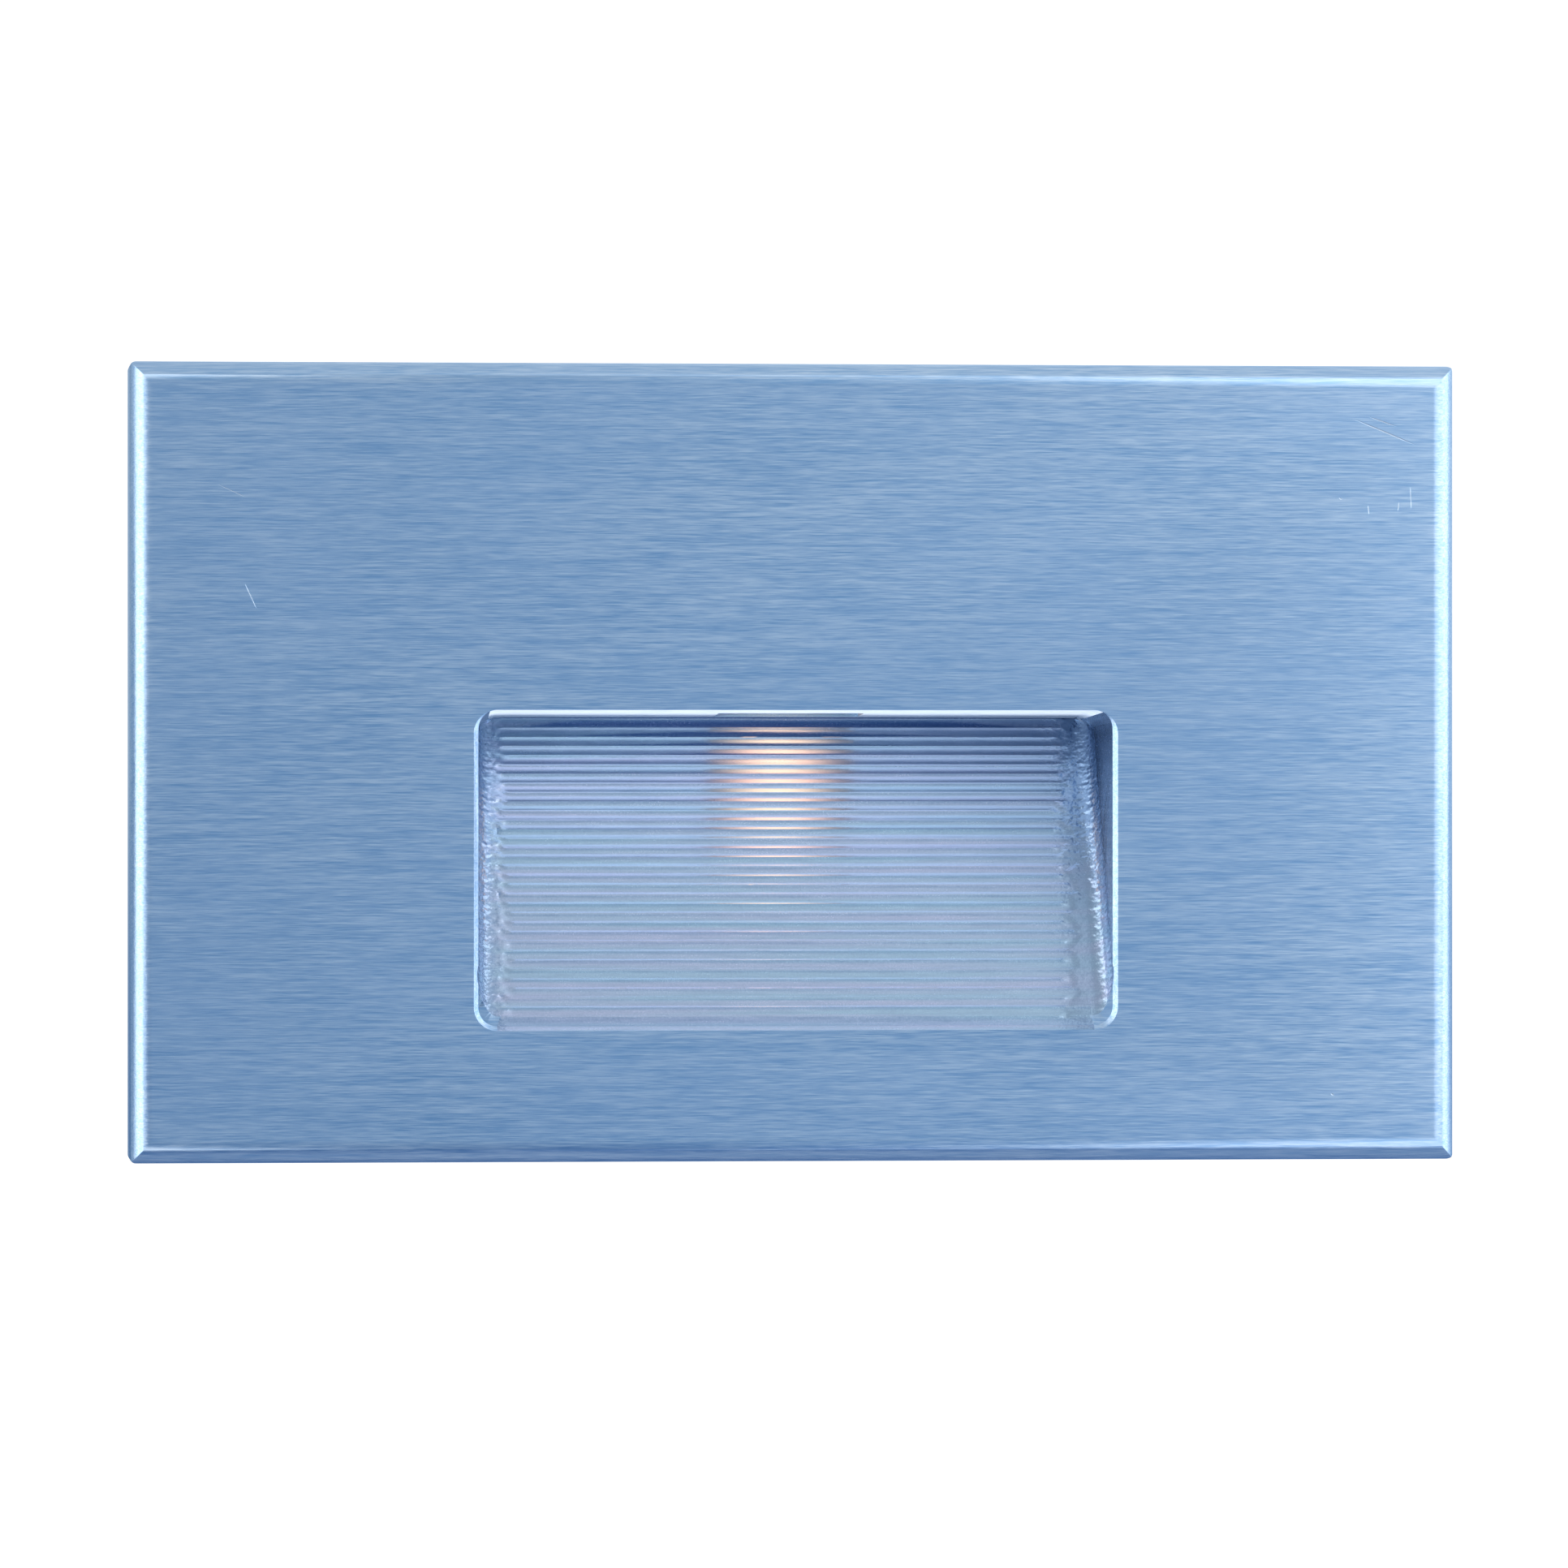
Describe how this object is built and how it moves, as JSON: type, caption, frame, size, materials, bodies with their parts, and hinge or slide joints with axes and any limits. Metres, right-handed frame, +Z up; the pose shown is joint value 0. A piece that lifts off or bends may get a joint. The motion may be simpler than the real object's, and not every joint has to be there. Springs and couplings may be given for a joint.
{
  "type": "step light",
  "caption": "Recessed wall step light: brushed aluminium faceplate with a ribbed light scoop, LED and driver in a rear housing, on a bracket for a single-gang box.",
  "frame": {"origin": "midway between the two box screws, on the wall's surface", "axes": "+Z up, +X to the right along the wall as seen by a person who faces the light, -Y out of the wall towards that person"},
  "size_m": [0.127, 0.0618, 0.0762],
  "materials": {
    "brushed_face": "horizontally brushed",
    "foam": "closed-cell foam",
    "silicone": "matt moulded",
    "frosted_glass": "frosted",
    "plain_aluminium": "mill finish",
    "white_board": "white solder mask",
    "led": "phosphor under a clear dome",
    "pad": "soft",
    "red_lead": "extruded sleeve",
    "black_lead": "extruded sleeve",
    "white_plastic": "moulded",
    "housing_plastic": "fine moulded texture",
    "gland_plastic": "moulded",
    "green_board": "solder mask",
    "terminal_plastic": "moulded",
    "zinc_steel": "zinc plated",
    "green_nut": "dyed",
    "stainless": "turned",
    "black_oxide": "black oxide",
    "black_plastic": "moulded",
    "blue_disc": "dipped lacquer",
    "yellow_case": "moulded",
    "can_sleeve": "shrink sleeve",
    "choke_sleeve": "shrink sleeve",
    "ferrite": "pressed and fired",
    "yellow_tape": "wound tape"
  },
  "bodies": {
    "bracket": {"wall_bracket": "zinc_steel", "box_screws": "zinc_steel", "ground_stud": "zinc_steel", "ground_nut": "green_nut"},
    "luminaire": {"faceplate": "brushed_face", "wall_gasket": "foam", "lens_gasket": "silicone", "light_window": "frosted_glass", "lens_frame": "plain_aluminium", "led_board": "white_board", "led_package": "led", "thermal_pad": "pad", "heat_spreader": "plain_aluminium", "led_lead_red": "red_lead", "led_lead_black": "black_lead", "led_socket": "white_plastic", "rear_housing": "housing_plastic", "housing_gasket": "silicone", "cover_gasket": "silicone", "rear_cover": "housing_plastic", "gland_body": "gland_plastic", "gland_seal": "silicone", "gland_washer": "silicone", "gland_locknut": "gland_plastic", "gland_nut": "gland_plastic", "driver_board": "green_board", "terminal_block": "terminal_plastic", "terminal_screws": "zinc_steel", "fuse": "black_plastic", "varistor": "blue_disc", "film_capacitor": "yellow_case", "bridge_rectifier": "black_plastic", "control_chip": "black_plastic", "bulk_capacitors": "can_sleeve", "output_capacitor": "can_sleeve", "output_choke": "choke_sleeve", "transformer_core": "ferrite", "transformer_winding": "yellow_tape", "transformer_bobbin": "black_plastic", "housing_screws": "stainless", "cover_screws": "stainless", "driver_screws": "stainless", "spreader_screws": "stainless", "led_screws": "stainless", "lens_screws": "stainless"},
    "left_set_screw": {"set_screw_left": "black_oxide"},
    "right_set_screw": {"set_screw_right": "black_oxide"}
  },
  "joints": [
    {"name": "light_pull_off", "type": "slide", "parent": "bracket", "child": "luminaire", "axis": [0, -1, 0], "range_m": [0, 0.06]},
    {"name": "left_set_screw_travel", "type": "slide", "parent": "luminaire", "child": "left_set_screw", "axis": [0, 0, -1], "range_m": [0, 0.0015]},
    {"name": "right_set_screw_travel", "type": "slide", "parent": "luminaire", "child": "right_set_screw", "axis": [0, 0, -1], "range_m": [0, 0.0015]}
  ]
}
